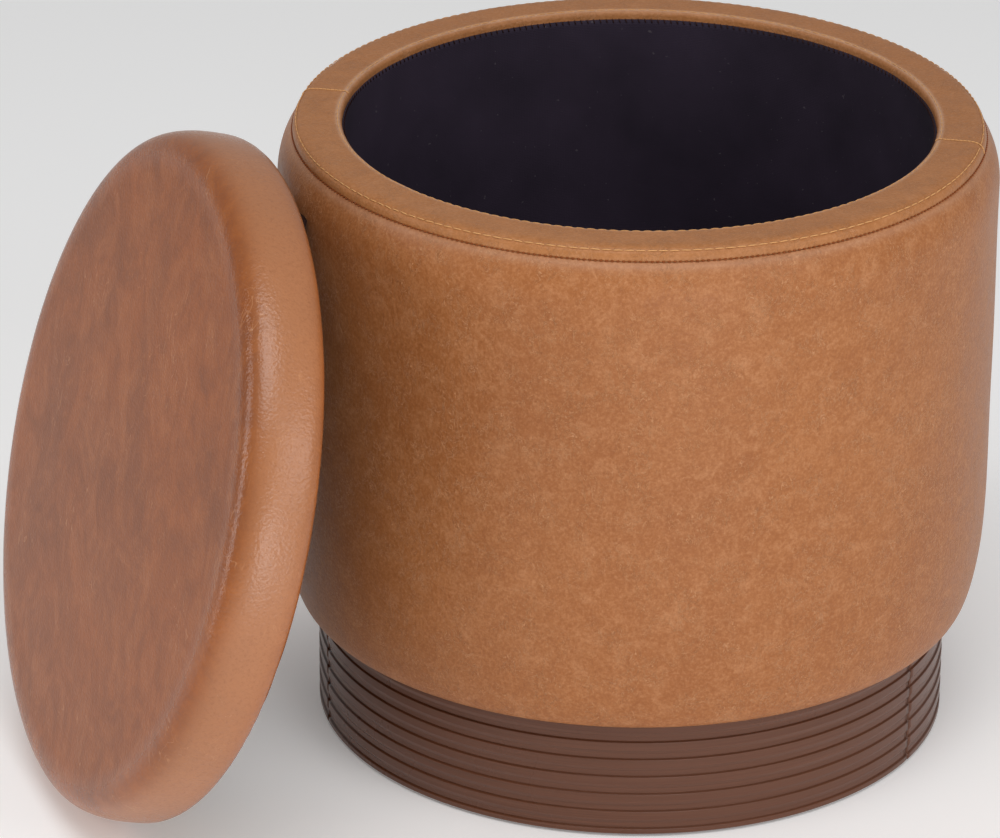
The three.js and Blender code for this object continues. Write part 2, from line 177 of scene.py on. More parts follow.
def put_grid(name, points, uv=None, caps=False, marks=None):
    """An object of a grid of points [row, column, xyz], four neighbours to a face. Rows that meet, the
    two ends of a closed outline and a row or column drawn into one point are merged. Caps close the
    first and last row, and marks are further numbers kept at the points."""
    rows, columns = points.shape[:2]
    index = np.arange(rows * columns).reshape(rows, columns)
    corners = (index[:-1, :-1], index[1:, :-1], index[1:, 1:], index[:-1, 1:])
    faces = np.stack(corners, -1).reshape(-1, 4).tolist()
    if caps:
        faces += [index[0, :-1].tolist(), index[-1, :0:-1].tolist()]
    mesh = bpy.data.meshes.new(name)
    mesh.from_pydata(points.reshape(-1, 3).tolist(), [], faces)
    corner = np.empty(len(mesh.loops), np.int32)
    mesh.loops.foreach_get("vertex_index", corner)
    if uv is not None:
        layer = mesh.uv_layers.new(name="laid_flat")
        layer.data.foreach_set("uv", uv.reshape(-1, 2)[corner].ravel().astype(np.float32))
    for label, values in (marks or {}).items():
        mark = mesh.attributes.new(label, "FLOAT", "POINT")
        mark.data.foreach_set("value", values.ravel().astype(np.float32))
    work = bmesh.new()
    work.from_mesh(mesh)
    bmesh.ops.remove_doubles(work, verts=work.verts, dist=0.001 * MM)
    work.to_mesh(mesh)
    work.free()
    mesh.polygons.foreach_set("use_smooth", np.ones(len(mesh.polygons), bool))
    made = bpy.data.objects.new(name, mesh)
    bpy.context.scene.collection.objects.link(made)
    return made


def turned(outline, angles):
    """Points of an outline (radius, height) carried round an upright axis at the origin, a row of them
    at each angle in degrees: x = r cos a, y = r sin a, z = h."""
    turn = np.radians(angles)[:, None]
    radius, height = outline[:, 0], outline[:, 1]
    return np.stack(np.broadcast_arrays(np.cos(turn) * radius, np.sin(turn) * radius, height), -1)


def lengths(outline):
    """How far along an outline each of its points is."""
    return np.concatenate([[0], np.cumsum(np.linalg.norm(np.diff(outline, axis=0), axis=1))])


def laid_flat(outline, angles, radius):
    """The flat place of each point of a turned surface: the way round at a radius, and the way along."""
    return np.stack(np.meshgrid(np.radians(angles) * radius, lengths(outline), indexing="ij"), -1)


def thicken(piece, thickness):
    """Gives a surface its thickness, on its inner side."""
    wall = piece.modifiers.new("thickness", "SOLIDIFY")
    wall.thickness = thickness
    wall.offset = -1


def dress(piece, made, body, slot, *stands_for):
    """Gives a piece its material and its body, and says which CAD nodes it stands for. Its slot is not
    used.
    """
    piece.data.materials.append(made)
    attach(piece, body)
    if stands_for:
        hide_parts(*stands_for)


def flat_disc(radius, height, rings):
    """The outline of a disc from its edge to its middle."""
    steps = np.linspace(1, 0, rings)
    return np.column_stack([radius * steps, np.full(rings, height)])


WHOLE_TURN = np.linspace(0, 360, 145)
cover_low, cover_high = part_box("plinth_dust_cover")
axis = (cover_low + cover_high) / 2
axis.z = 0
dust_radius = (cover_high.x - cover_low.x) / 2

spun, tree, surface = material("spun_cloth", (0.018, 0.018, 0.02), 0.9)
fibres = noise(tree, object_space(tree), 700, 4, 0.7, 2.0)
dimples = node(tree, "TexVoronoi", {"Vector": object_space(tree), "Scale": 520.0}).outputs[0]
finish_with(tree, surface, Base_Color=mixed(tree, fibres, (0.012, 0.012, 0.014), (0.045, 0.045, 0.05)),
            Normal=bump(tree, dimples, 0.2 * MM, bump(tree, fibres, 0.15 * MM)))

disc = flat_disc(dust_radius, cover_low.z, 20)[::-1]
dust_cover = put_grid("dust_cover", turned(disc, WHOLE_TURN) + axis,
                      laid_flat(disc, WHOLE_TURN, dust_radius))
thicken(dust_cover, cover_high.z - cover_low.z)
dress(dust_cover, spun, "drum", "dust_cover", "plinth_dust_cover")


# ---------------------------------------------------------------------------------------------------
# Fluted strip. A moulded strip in dark brown, wrapped round the hoop in three lengths that are butted
# end to end and pinned. Each flute is a flat land with a narrow ledge and a crease above it, and its
# lower edge slopes back.

def rounded(corners, radius, steps=3):
    """A closed outline with each corner replaced by a curve that begins and ends a radius away from it,
    the parabola pulled towards the corner, with one more point on the flat before and after it. Short
    sides take a smaller radius."""
    corners = np.asarray(corners, float)
    before, after = np.roll(corners, 1, 0) - corners, np.roll(corners, -1, 0) - corners
    short = np.minimum(np.linalg.norm(before, axis=1), np.linalg.norm(after, axis=1))
    cut = np.minimum(radius, 0.35 * short)[:, None]
    towards_last = before / np.linalg.norm(before, axis=1)[:, None] * cut
    towards_next = after / np.linalg.norm(after, axis=1)[:, None] * cut
    start, end = corners + towards_last, corners + towards_next
    t = np.linspace(0, 1, steps + 1)[None, :, None]
    curve = (1 - t) ** 2 * start[:, None] + 2 * t * (1 - t) * corners[:, None] + t**2 * end[:, None]
    flats = (corners + 1.3 * towards_last)[:, None], (corners + 1.3 * towards_next)[:, None]
    return np.concatenate([flats[0], curve, flats[1]], 1).reshape(-1, 2)


strip_low, strip_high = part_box("plinth_strip_front")
plinth_radius = axis.y - strip_low.y
hoop_radius = (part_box("plinth_hoop")[1].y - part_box("plinth_hoop")[0].y) / 2

FLUTE_PITCH, FLUTE_DEPTH, FLUTE_LAND = 11.5 * MM, 1.0 * MM, 5.0 * MM
FIRST_LAND = 3 * MM
LEDGE, SLOPE = 0.35 * MM, 2.6 * MM
CREASE_DEPTH, CREASE_HEIGHT = 0.45 * MM, 0.55 * MM
STRIP_EDGE = 0.3 * MM
STRIP_ENDS = {"front": (175.7, 310.2), "back_left": (63.0, 175.7), "back_right": (-49.8, 63.0)}
JOINT_GAP = 0.22  # degrees left open at each end of a length

recess = plinth_radius - FLUTE_DEPTH
corners = [(plinth_radius, strip_low.z)]
edge = strip_low.z + FIRST_LAND
while edge + FLUTE_PITCH < strip_high.z:
    land = edge + FLUTE_PITCH - FLUTE_LAND
    corners += [(plinth_radius, edge), (recess, edge + LEDGE)]
    corners += [(recess - CREASE_DEPTH, edge + LEDGE + CREASE_HEIGHT / 2)]
    corners += [(recess, edge + LEDGE + CREASE_HEIGHT)]
    corners += [(recess, land - SLOPE), (plinth_radius, land)]
    edge += FLUTE_PITCH
corners += [(plinth_radius, edge), (recess, edge + LEDGE), (recess, strip_high.z)]
corners += [(hoop_radius + 0.3 * MM, strip_high.z), (hoop_radius + 0.3 * MM, strip_low.z)]
profile = rounded(corners, STRIP_EDGE)
profile = np.vstack([profile, profile[:1]])

strip_brown, tree, surface = material("strip_brown", (0.12, 0.045, 0.022), 0.36, Specular_IOR_Level=0.4)
flat = node(tree, "UVMap", {}, uv_map="laid_flat").outputs[0]
lines = noise(tree, node(tree, "Mapping", {"Vector": flat, "Scale": (9, 900, 1)}).outputs[0], 1.0, 4, 0.6)
cloud = noise(tree, object_space(tree), 14, 4, 0.6)
brown = mixed(tree, between(tree, lines, 0.3, 0.7), (0.1, 0.035, 0.016), (0.15, 0.056, 0.029))
brown = mixed(tree, between(tree, cloud, 0.35, 0.7, 0, 0.5), brown, (0.128, 0.047, 0.024))
finish_with(tree, surface, Base_Color=brown, Normal=bump(tree, lines, 0.02 * MM),
            Roughness=between(tree, cloud, 0.3, 0.7, 0.24, 0.36))

for side, (start, end) in STRIP_ENDS.items():
    angles = np.linspace(start + JOINT_GAP, end - JOINT_GAP, int(end - start) + 1)
    strip = put_grid(f"fluted_strip_{side}", turned(profile, angles) + axis,
                     laid_flat(profile, angles, plinth_radius), caps=True)
    dress(strip, strip_brown, "drum", "fluting", f"plinth_strip_{side}")


# ---------------------------------------------------------------------------------------------------
# Side padding and cover. A band of foam glued round the wall, then a band of tan faux leather, sewn
# at the back, pulled down over the foam's foot and stapled in underneath.

def ellipse(centre, half_width, half_height, start, end, step):
    """Part of an ellipse from one angle to another, in degrees, a step apart along it."""
    steps = max(2, round(math.radians(abs(end - start)) * (half_width + half_height) / 2 / step))
    turn = np.radians(np.linspace(start, end, steps + 1))
    return np.column_stack([centre[0] + half_width * np.cos(turn), centre[1] + half_height * np.sin(turn)])


def line(start, end, step):
    """Points from one place to another, a step apart."""
    steps = max(1, round(math.dist(start, end) / step))
    return np.linspace(start, end, steps + 1)


def joined(*parts):
    """Outlines put end to end, without the points that they share."""
    together = np.vstack(parts)
    keep = np.linalg.norm(np.diff(together, axis=0, prepend=together[:1] - 1), axis=1) > 1e-6
    return together[keep]


def outward(outline):
    """The unit normal of each point of an outline, on the right of its way along."""
    along = np.gradient(outline, axis=0)
    along /= np.linalg.norm(along, axis=1)[:, None]
    return np.column_stack([along[:, 1], -along[:, 0]])


def inside(outline, depth):
    """An outline moved in from its surface by a depth."""
    return outline - outward(outline) * depth


def seam_angles(start, end, radius, step):
    """Angles from start to end, a step apart at a radius, and closer in the last few millimetres."""
    near = np.degrees(np.array([0, 0.3, 0.6, 0.9, 1.3, 1.8, 2.5, 3.5]) * MM / radius)
    reach = near[-1] + math.degrees(step / radius)
    middle = np.linspace(start + reach, end - reach, round(math.radians(end - start) * radius / step))
    return np.concatenate([start + near, middle, end - near[::-1]])


def waves(angles, along, seed, count, longest, shortest):
    """Gentle unevenness from -1 to 1: a mean of sines that each run k whole times round and h times
    along the surface, k and h and the phase drawn from a seed. Sines of longer waves count for more."""
    draw = np.random.default_rng(seed)
    size = np.exp(draw.uniform(math.log(shortest), math.log(longest), count))
    lean = draw.uniform(-0.8, 0.8, count)
    round_times = np.rint(2 * math.pi * drum_radius / size * np.cos(lean))
    rise = 2 * math.pi / size * np.sin(lean)
    phase = draw.uniform(0, 2 * math.pi, count)
    turn = np.radians(angles)[:, None, None]
    ripples = np.sin(round_times * turn + rise * np.asarray(along)[None, :, None] + phase)
    return (ripples * size).sum(-1) / size.sum()


def raised(points, angles, outline, height):
    """Points of a turned surface moved out along their normals by a height."""
    normal = outward(outline)
    return points + turned(normal, angles) * height[..., None]


def settled(points, push, most):
    """How far each point of a grid moves when it is a cloth held at its border and pushed outwards
    from inside for twenty frames, and no further than the most it may."""
    cloth = put_grid("cloth", points)
    if len(cloth.data.vertices) != points.shape[0] * points.shape[1]:
        raise SystemExit("a cloth's grid must have no doubled points")
    index = np.arange(points.shape[0] * points.shape[1]).reshape(points.shape[:2])
    border = np.unique(np.concatenate([index[0], index[-1], index[:, 0], index[:, -1]]))
    held = cloth.vertex_groups.new(name="held")
    held.add(border.tolist(), 1.0, "REPLACE")
    drape = cloth.modifiers.new("drape", "CLOTH")
    drape.settings.quality = 4
    drape.settings.vertex_group_mass = "held"
    drape.settings.use_pressure = True
    drape.settings.uniform_pressure_force = push
    drape.settings.effector_weights.gravity = 0
    drape.point_cache.frame_end = 20
    for step in range(1, 21):
        bpy.context.scene.frame_set(step)
    shape = cloth.evaluated_get(bpy.context.evaluated_depsgraph_get()).data
    after = np.empty(points.size, np.float32)
    shape.vertices.foreach_get("co", after)
    bpy.context.scene.frame_set(1)
    bpy.data.objects.remove(cloth)
    moved = after.reshape(points.shape) - points
    distance = np.linalg.norm(moved, axis=-1, keepdims=True)
    return moved * most * np.tanh(distance / most) / np.maximum(distance, 0.001 * MM)


def carried_over(moved, old_rows, old_columns, rows, columns):
    """A coarse grid's movement at the rows and columns of a finer one, straight between its points."""
    for old, new in ((old_rows, rows), (old_columns, columns)):
        at = np.clip(np.searchsorted(old, new) - 1, 0, len(old) - 2)
        share = ((new - old[at]) / (old[at + 1] - old[at]))[:, None, None]
        moved = (moved[at] * (1 - share) + moved[at + 1] * share).swapaxes(0, 1)
    return moved


def seam_dip(distance, depth=0.3 * MM, width=0.45 * MM):
    """How far leather goes in beside a seam: the depth times exp(-(distance / width) squared)."""
    return depth * np.exp(-((distance / width) ** 2))


side_low, side_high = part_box("side_cover")
rim_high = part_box("rim_cover_front")[1]
drum_radius = (side_high.y - side_low.y) / 2
LEATHER = 1.2 * MM
GAP = 0.3 * MM
TUCK_WIDTH, TUCK_HEIGHT = 13 * MM, 85 * MM
SHOULDER_WIDTH, SHOULDER_HEIGHT = 24 * MM, 35 * MM
SEAM_ANGLE = 50.7
TURNED_IN = 165.5 * MM
BACK_SEAM = 68.7

foot = (drum_radius - TUCK_WIDTH, side_low.z + TUCK_HEIGHT)
shoulder = (drum_radius - SHOULDER_WIDTH, rim_high.z - SHOULDER_HEIGHT)
side_outline = joined(
    line((TURNED_IN, side_low.z), (foot[0], side_low.z), 4 * MM),
    ellipse(foot, TUCK_WIDTH, TUCK_HEIGHT, -90, 0, 3.2 * MM),
    line((drum_radius, foot[1]), (drum_radius, shoulder[1]), 4 * MM),
    ellipse(shoulder, SHOULDER_WIDTH, SHOULDER_HEIGHT, 0, SEAM_ANGLE - 6, 2.5 * MM),
    ellipse(shoulder, SHOULDER_WIDTH, SHOULDER_HEIGHT, SEAM_ANGLE - 6, SEAM_ANGLE, 0.35 * MM))
angles = seam_angles(BACK_SEAM, BACK_SEAM + 360, drum_radius, 3.4 * MM)
along = lengths(side_outline)
from_seam = along[-1] - along
from_end = np.minimum(angles - angles[0], angles[-1] - angles) * math.pi / 180 * drum_radius
free = np.clip(from_seam / (30 * MM), 0, 1) * np.clip((along - 40 * MM) / (40 * MM), 0, 1)
height = waves(angles, along, 11, 26, 150 * MM, 30 * MM) * free * 1.0 * MM
coarse_angles = np.linspace(angles[0] + 0.01, angles[-1] - 0.01, 200)
coarse_along = np.linspace(0, along[-1], 54)
coarse_outline = np.column_stack([np.interp(coarse_along, along, side_outline[:, i]) for i in (0, 1)])
moved = settled(turned(coarse_outline, coarse_angles) + axis, 1.0, 1.6 * MM)
moved = carried_over(moved, coarse_angles, coarse_along, np.clip(angles, *coarse_angles[[0, -1]]), along)
height = height - seam_dip(from_seam)
height = height - seam_dip(from_end, 1.1 * MM, 1.0 * MM)[:, None] * (along > 36 * MM)
points = raised(turned(side_outline, angles), angles, side_outline, height) + moved + axis
wear_and_highlight = np.broadcast_to(0.3 * np.exp(-(((from_seam - 3 * MM) / (2.5 * MM)) ** 2)), height.shape)


def leather_grain(tree, place):
    """The normal of embossed leather: small rounded pebbles, with finer pores over them."""
    pebbles = node(tree, "TexVoronoi", {"Vector": place, "Scale": 620.0}, feature="SMOOTH_F1").outputs[0]
    pores = noise(tree, place, 1500, 2, 0.5)
    return bump(tree, pores, 0.1 * MM, bump(tree, pebbles, 0.22 * MM))


def drum_leather(name, tan, pale, dark):
    """Faux leather in three tones: broad and small clouds, and short pale creases, which lie where one
    noise crosses its middle value and another is high. A little paler where the wear-and-highlight mark is
    high: edge wear beside the side's seam, and along the rim's opening edge partly edge wear, partly
    painted highlight."""
    made, tree, surface = material(name, tan, 0.5, Specular_IOR_Level=0.27)
    place = object_space(tree)
    cloud = noise(tree, place, 7, 3, 0.6, 0.5)
    patch = noise(tree, place, 75, 7, 0.75, 0.8)
    fleck = noise(tree, place, 520, 4, 0.75)
    vein = noise(tree, object_space(tree, (1, 1, 0.7)), 190, 3, 0.6, 1.4)
    from_middle = arithmetic(tree, "ABSOLUTE", arithmetic(tree, "SUBTRACT", vein, 0.5))
    ridge = between(tree, from_middle, 0, 0.02, 1, 0)
    where = between(tree, noise(tree, place, 55, 3), 0.44, 0.56)
    crease = arithmetic(tree, "MULTIPLY", ridge, where)
    paler_share = node(tree, "Attribute", {}, attribute_name="wear_and_highlight").outputs["Fac"]
    colour = mixed(tree, between(tree, cloud, 0.35, 0.7, 0, 0.35), tan, dark)
    colour = mixed(tree, between(tree, patch, 0.5, 0.75, 0, 0.6), colour, pale)
    colour = mixed(tree, between(tree, patch, 0.5, 0.25, 0, 0.55), colour, dark)
    colour = mixed(tree, between(tree, fleck, 0.5, 0.75, 0, 0.7), colour, dark)
    colour = mixed(tree, between(tree, fleck, 0.5, 0.25, 0, 0.6), colour, pale)
    colour = mixed(tree, crease, colour, pale)
    colour = mixed(tree, arithmetic(tree, "MULTIPLY", paler_share, 0.7), colour, (0.62, 0.4, 0.28))
    finish_with(tree, surface, Base_Color=colour,
                Roughness=between(tree, patch, 0.3, 0.75, 0.34, 0.5),
                Normal=bump(tree, crease, 0.15 * MM, leather_grain(tree, place)))
    return made


side_tan = drum_leather("side_leather", (0.4, 0.147, 0.046), (0.57, 0.27, 0.125), (0.285, 0.09, 0.026))
side = put_grid("side_leather_cover", points, laid_flat(side_outline, angles, drum_radius),
                marks={"wear_and_highlight": wear_and_highlight})
thicken(side, LEATHER)
dress(side, side_tan, "drum", "drum_leather", "side_cover")

foam_cream, tree, surface = material("foam", (0.78, 0.7, 0.5), 0.95)
cells = node(tree, "TexVoronoi", {"Vector": object_space(tree), "Scale": 900.0}).outputs[0]
finish_with(tree, surface, Base_Color=mixed(tree, cells, (0.6, 0.52, 0.34), (0.84, 0.77, 0.58)),
            Normal=bump(tree, cells, 0.4 * MM))

wall_radius = (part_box("drum_wall")[1].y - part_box("drum_wall")[0].y) / 2
floor_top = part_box("drum_floor_board")[1].z
rim_board_low, rim_board_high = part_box("rim_board")
rim_board_radius = (rim_board_high.y - rim_board_low.y) / 2
FOAM_SINK = 3 * MM
skin = inside(side_outline[along > 55 * MM][::2], FOAM_SINK)
skin = skin[(skin[:, 1] > floor_top + GAP) & (skin[:, 1] < rim_board_low.z + 8 * MM)]
foam_top, foam_bottom = skin[-1, 1], skin[0, 1]
foam_outline = joined(
    skin,
    [(rim_board_radius + GAP, foam_top), (rim_board_radius + GAP, rim_board_low.z - GAP),
     (wall_radius + GAP, rim_board_low.z - GAP), (wall_radius + GAP, foam_bottom)],
    skin[:1])
side_foam = put_grid("side_foam_band", turned(foam_outline, WHOLE_TURN) + axis)
dress(side_foam, foam_cream, "drum", "foam", "side_foam")


# ---------------------------------------------------------------------------------------------------
# Rim padding and cover. A ring of foam on the rim board under two half rings of the same leather,
# sewn together end to end, sewn to the side's cover, and turned down into the opening.

LIP = 3.5 * MM
opening_radius = 176.6 * MM
rim_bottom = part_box("rim_cover_front")[0].z
lip_centre = (opening_radius + LIP, rim_high.z - LIP)
RIM_HALVES = {"front": (148.7, 328.7), "back": (-31.3, 148.7)}
INNER_STITCH, OUTER_STITCH = 179.3 * MM, 203.9 * MM
RIM_SQUARENESS = 5.5 * MM


def bezier(start, pull, push, end, steps):
    """A cubic curve from start to end, drawn towards two points between them. Its steps are shorter
    near the start."""
    t = (np.linspace(0, 1, steps + 1) ** 1.4)[:, None]
    return ((1 - t) ** 3 * start + 3 * t * (1 - t) ** 2 * np.asarray(pull)
            + 3 * t**2 * (1 - t) * np.asarray(push) + t**3 * np.asarray(end))


seam_place = side_outline[-1]
edge_start = seam_place + [-0.3 * MM, RIM_SQUARENESS]
edge_end = (seam_place[0] - 2.6 * MM, rim_high.z)
flat_start = (seam_place[0] - 10 * MM, rim_high.z)
rim_outline = joined(
    bezier(seam_place, edge_start, edge_end, flat_start, 30),
    line(flat_start, (lip_centre[0], rim_high.z), 0.9 * MM),
    ellipse(lip_centre, LIP, LIP, 90, 180, 0.8 * MM),
    line((opening_radius, lip_centre[1]), (opening_radius, rim_bottom), 2.5 * MM))
rim_along = lengths(rim_outline)


def along_at(radius):
    """How far along the rim's outline a radius comes, on its upper side."""
    upper = (rim_outline[:, 1] > lip_centre[1]) & (rim_outline[:, 0] > opening_radius + 1 * MM)
    order = np.argsort(rim_outline[upper, 0])
    return float(np.interp(radius, rim_outline[upper, 0][order], rim_along[upper][order]))


def stitch_groove(radius):
    """The shallow dent that a row of stitches draws into the rim, by the distance from the row."""
    return 0.3 * MM * np.exp(-(((rim_along - along_at(radius)) / (1.0 * MM)) ** 2))


rim_tan = drum_leather("rim_leather", (0.435, 0.175, 0.058), (0.54, 0.245, 0.11), (0.33, 0.125, 0.04))
for side_name, (start, end) in RIM_HALVES.items():
    angles = seam_angles(start, end, drum_radius - SHOULDER_WIDTH, 2.0 * MM)
    from_end = np.minimum(angles - start, end - angles) * math.pi / 180 * lip_centre[0]
    swell = waves(angles, rim_along, 23, 20, 90 * MM, 18 * MM) * 0.35 * MM
    swell = swell * np.clip(rim_along / (6 * MM), 0, 1) * np.clip(from_end[:, None] / (8 * MM), 0, 1)
    swell = swell - seam_dip(rim_along) - stitch_groove(INNER_STITCH) - stitch_groove(OUTER_STITCH)
    swell = swell - seam_dip(from_end)[:, None]
    points = raised(turned(rim_outline, angles), angles, rim_outline, swell) + axis
    # A thin paler line along the opening's rolled edge: partly edge wear, partly painted highlight.
    edge_wear_and_highlight = np.exp(-(((rim_along - along_at(opening_radius + 2.6 * MM)) / (1.3 * MM)) ** 2))
    wear_and_highlight = np.broadcast_to(edge_wear_and_highlight, swell.shape)
    rim = put_grid(f"rim_leather_{side_name}", points, laid_flat(rim_outline, angles, lip_centre[0]),
                   marks={"wear_and_highlight": wear_and_highlight})
    thicken(rim, LEATHER)
    dress(rim, rim_tan, "drum", "drum_leather", f"rim_cover_{side_name}")

RIM_FOAM_SINK = 2.2 * MM
above_board = (rim_along > 3 * MM) & (rim_outline[:, 1] > rim_board_high.z + 2 * MM)
skin = inside(rim_outline[above_board][::2], RIM_FOAM_SINK)
skin = skin[skin[:, 1] > rim_board_high.z + 1.5 * MM]
inner = skin[-1, 0]
foam_bottom = rim_board_high.z + GAP
foam_outline = joined(skin, [(inner, foam_bottom), (skin[0, 0], foam_bottom)], skin[:1])
rim_foam = put_grid("rim_foam_ring", turned(foam_outline, WHOLE_TURN) + axis)
dress(rim_foam, foam_cream, "drum", "foam", "rim_foam")


# ---------------------------------------------------------------------------------------------------
# Lining. Black woven cloth: a band down the inside of the wall, its top overlocked to the rim's
# leather, and a disc glued over the loose card panel that is the storage floor.

wall_low, wall_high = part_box("lining_wall")
lining_radius = (wall_high.y - wall_low.y) / 2
panel_low, panel_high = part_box("storage_floor_lining")
panel_radius = (panel_high.y - panel_low.y) / 2

woven, tree, surface = material("black_lining", (0.012, 0.008, 0.014), 0.8, Specular_IOR_Level=0.22)
flat = node(tree, "UVMap", {}, uv_map="laid_flat").outputs[0]
warp, weft = (node(tree, "TexWave", {"Vector": flat, "Scale": 1800 / (2 * math.pi), "Distortion": 0.6},
                   bands_direction=way).outputs[1] for way in ("X", "Y"))
weave = arithmetic(tree, "MULTIPLY", warp, weft)
lint = noise(tree, object_space(tree), 260, 2, 0.5)
dusty = noise(tree, object_space(tree), 12, 3)
black = mixed(tree, between(tree, dusty, 0.3, 0.7), (0.021, 0.0145, 0.026), (0.039, 0.027, 0.047))
black = mixed(tree, between(tree, lint, 0.72, 0.76, 0, 0.7), black, (0.1, 0.085, 0.1))
finish_with(tree, surface, Base_Color=black, Normal=bump(tree, weave, 0.15 * MM))

band = line((lining_radius - 0.9 * MM, wall_high.z), (lining_radius - 0.9 * MM, wall_low.z), 3.5 * MM)
angles = np.linspace(0, 360, 301)
down = lengths(band)
slack = np.clip(down / (25 * MM), 0, 1) * np.clip((down[-1] - down) / (25 * MM), 0, 1)
height = waves(angles, down, 31, 22, 120 * MM, 22 * MM) * slack * 0.5 * MM
points = raised(turned(band, angles), angles, band, height) + axis
lining = put_grid("lining_band", points, laid_flat(band, angles, lining_radius))
thicken(lining, 0.9 * MM)
dress(lining, woven, "drum", "lining", "lining_wall")

disc = flat_disc(panel_radius, panel_high.z, 26)[::-1]
points = turned(disc, np.linspace(0, 360, 121)) + axis
floor_cloth = put_grid("storage_floor_cloth", points[:, ::-1],
                       laid_flat(disc, np.linspace(0, 360, 121), panel_radius)[:, ::-1])
thicken(floor_cloth, panel_high.z - panel_low.z)
dress(floor_cloth, woven, "drum", "lining", "storage_floor_lining")

card, tree, surface = material("grey_card", (0.3, 0.27, 0.22), 0.9)
pulp = noise(tree, object_space(tree), 500, 4, 0.7)
finish_with(tree, surface, Base_Color=mixed(tree, pulp, (0.24, 0.21, 0.17), (0.38, 0.34, 0.28)),
            Normal=bump(tree, pulp, 0.1 * MM))
paint(["storage_floor_panel"], card)


# ---------------------------------------------------------------------------------------------------
# Stitching. Tan polyester thread in two rows round the rim, darker thread in the seam under it, and
# an overlock of black thread where the lining begins.

def stitches(name, places, along, up, length, thickness, arch):
    """A row of stitches in one mesh. At t from -1 to 1 a stitch's middle is its place, plus half its
    length times t along it, plus its arch times (1 - t squared) upwards. It is round, its radius half
    the thickness times the root of (1 - 0.8 t to the fourth)."""
    t = np.linspace(-1, 1, 6)
    turn = np.linspace(0, 2 * math.pi, 6, endpoint=False)
    along, up = (a / np.linalg.norm(a, axis=-1, keepdims=True) for a in (along, up))
    across = np.cross(along, up)
    radius = thickness / 2 * np.sqrt(1 - 0.8 * t**4)
    middle = (places[:, None] + along[:, None] * (length / 2 * t)[:, None]
              + up[:, None] * (arch * (1 - t**2))[:, None])
    ring = (across[:, None, None] * np.cos(turn)[:, None] + up[:, None, None] * np.sin(turn)[:, None])
    points = middle[:, :, None] + ring * radius[:, None, None]
    index = np.arange(len(places) * 36).reshape(-1, 6, 6)
    beside = np.roll(index, -1, 2)
    quads = np.stack((index[:, :-1], index[:, 1:], beside[:, 1:], beside[:, :-1]), -1).reshape(-1, 4)
    caps = np.concatenate([index[:, 0], index[:, -1, ::-1]])
    mesh = bpy.data.meshes.new(name)
    mesh.from_pydata(points.reshape(-1, 3).tolist(), [], quads.tolist() + caps.tolist())
    mesh.polygons.foreach_set("use_smooth", np.ones(len(mesh.polygons), bool))
    piece = bpy.data.objects.new(name, mesh)
    bpy.context.scene.collection.objects.link(piece)
    return piece


def thread(name, colour, light):
    """Twisted thread: fine slanting strands, light on their backs."""
    made, tree, surface = material(name, colour, 0.55, Specular_IOR_Level=0.2)
    strands = noise(tree, object_space(tree), 2600, 2, 0.5)
    finish_with(tree, surface, Base_Color=mixed(tree, strands, colour, light),
                Normal=bump(tree, strands, 0.1 * MM))
    return made


def on_rim(turn, way):
    """Places on the rim's leather, their normals, and the way along its outline, for angles in radians
    and distances along that outline."""
    normals = outward(rim_outline)
    radius, height = (np.interp(way, rim_along, rim_outline[:, i]) for i in (0, 1))
    out, up = (np.interp(way, rim_along, normals[:, i]) for i in (0, 1))
    cosine, sine = np.cos(turn), np.sin(turn)
    place = np.stack(np.broadcast_arrays(radius * cosine, radius * sine, height), -1) + axis
    normal = np.stack(np.broadcast_arrays(out * cosine, out * sine, up), -1)
    return place, normal, np.stack(np.broadcast_arrays(-up * cosine, -up * sine, out), -1)


def ring_of_stitches(name, way, pitch, fill, thickness, lift, made, slot, skip=()):
    """Stitches round the drum at a distance along the rim's outline, a pitch apart, each filling a part
    of it, and lifted off the leather. None crosses a skipped angle."""
    radius = float(np.interp(way, rim_along, rim_outline[:, 0]))
    count = round(2 * math.pi * radius / pitch)
    turn = 2 * math.pi * (np.arange(count) + 0.5) / count
    for angle in skip:
        away = np.abs((turn - math.radians(angle) + math.pi) % (2 * math.pi) - math.pi) * radius
        turn = turn[away > pitch * 0.6]
    place, normal, _ = on_rim(turn, np.full(len(turn), way))
    along = np.column_stack([-np.sin(turn), np.cos(turn), np.zeros(len(turn))])
    uneven = np.random.default_rng(len(turn)).normal(0, 0.035, (len(turn), 1))
    piece = stitches(name, place + normal * lift, along + uneven * np.cross(along, normal),
                     normal, pitch * fill, thickness, 0.3 * MM)
    dress(piece, made, "drum", slot)


tan_thread = thread("tan_thread", (0.58, 0.28, 0.1), (0.82, 0.46, 0.2))
brown_thread = thread("brown_thread", (0.2, 0.042, 0.008), (0.34, 0.09, 0.02))
black_thread = thread("black_thread", (0.022, 0.007, 0.005), (0.06, 0.02, 0.014))
rim_joints = RIM_HALVES["back"][::-1]
TOP_STITCH_PITCH, SEAM_PITCH, OVERLOCK_COUNT = 6.4 * MM, 3.2 * MM, 276
ring_of_stitches("outer_top_stitch", along_at(OUTER_STITCH), TOP_STITCH_PITCH, 0.88, 0.72 * MM, -0.1 * MM,
                 tan_thread, "drum_leather", rim_joints)
ring_of_stitches("inner_top_stitch", along_at(INNER_STITCH), TOP_STITCH_PITCH, 0.92, 0.6 * MM, -0.35 * MM,
                 tan_thread, "drum_leather", rim_joints)
ring_of_stitches("rim_seam_stitch", 0.25 * MM, SEAM_PITCH, 0.55, 0.9 * MM, 0.1 * MM,
                 brown_thread, "drum_leather")
for label, angle in zip(("left", "right"), rim_joints):
    way = np.arange(2 * MM, along_at(INNER_STITCH) + 2.5 * MM, 2.4 * MM)
    place, normal, along = on_rim(math.radians(angle), way)
    ridge = stitches(f"rim_joint_stitch_{label}", place, along, normal, 2.5 * MM, 0.8 * MM, 0.1 * MM)
    dress(ridge, tan_thread, "drum", "drum_leather")
overlock_radius = lining_radius - 1.2 * MM
turn = 2 * math.pi * np.arange(OVERLOCK_COUNT) / OVERLOCK_COUNT
